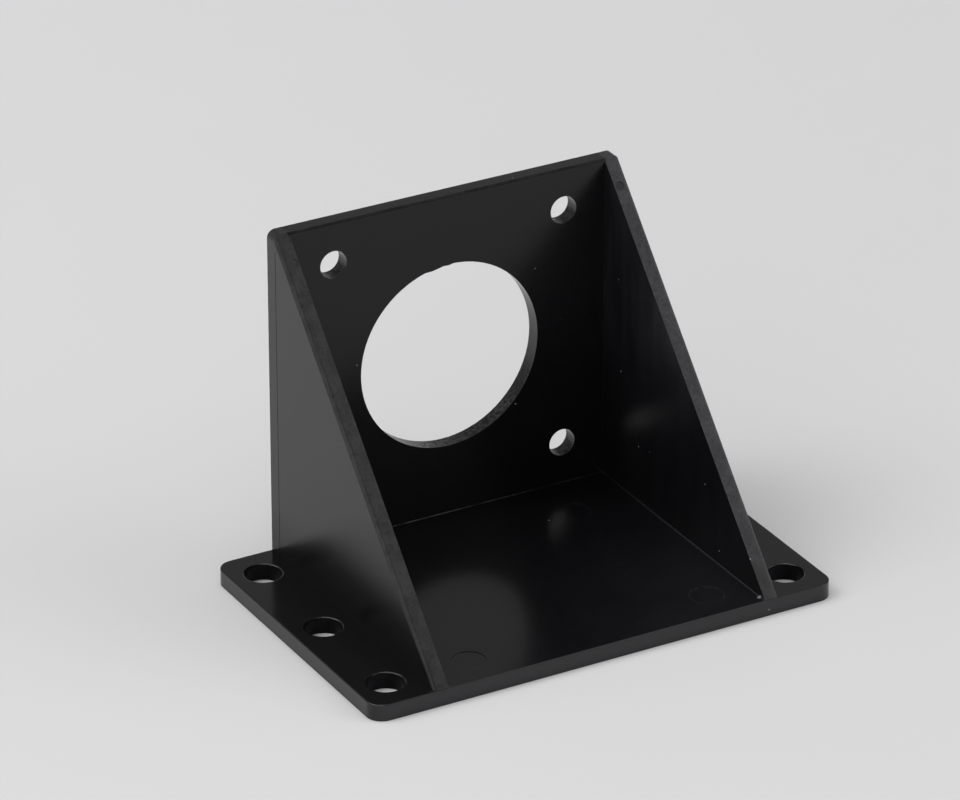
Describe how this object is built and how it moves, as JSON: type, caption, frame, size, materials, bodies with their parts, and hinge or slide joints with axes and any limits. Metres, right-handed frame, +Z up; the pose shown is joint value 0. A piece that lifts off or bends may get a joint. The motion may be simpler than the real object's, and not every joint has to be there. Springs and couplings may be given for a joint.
{
  "type": "motor mounting bracket",
  "caption": "Black moulded plastic motor bracket: upright plate with a pilot bore and bolt holes, braced by triangular side ribs on a flanged base.",
  "frame": {"origin": "middle of the base underside", "axes": "+X to the right across the flanges, +Y from the open side to the upright plate, +Z up from the mounting surface; the motor axis is along Y"},
  "size_m": [0.0618, 0.0398, 0.044],
  "materials": {
    "bracket_plastic": "semi-gloss black moulded plastic, finely textured on the rib slopes"
  },
  "bodies": {
    "root": {"motor_bracket": "bracket_plastic"}
  },
  "joints": []
}
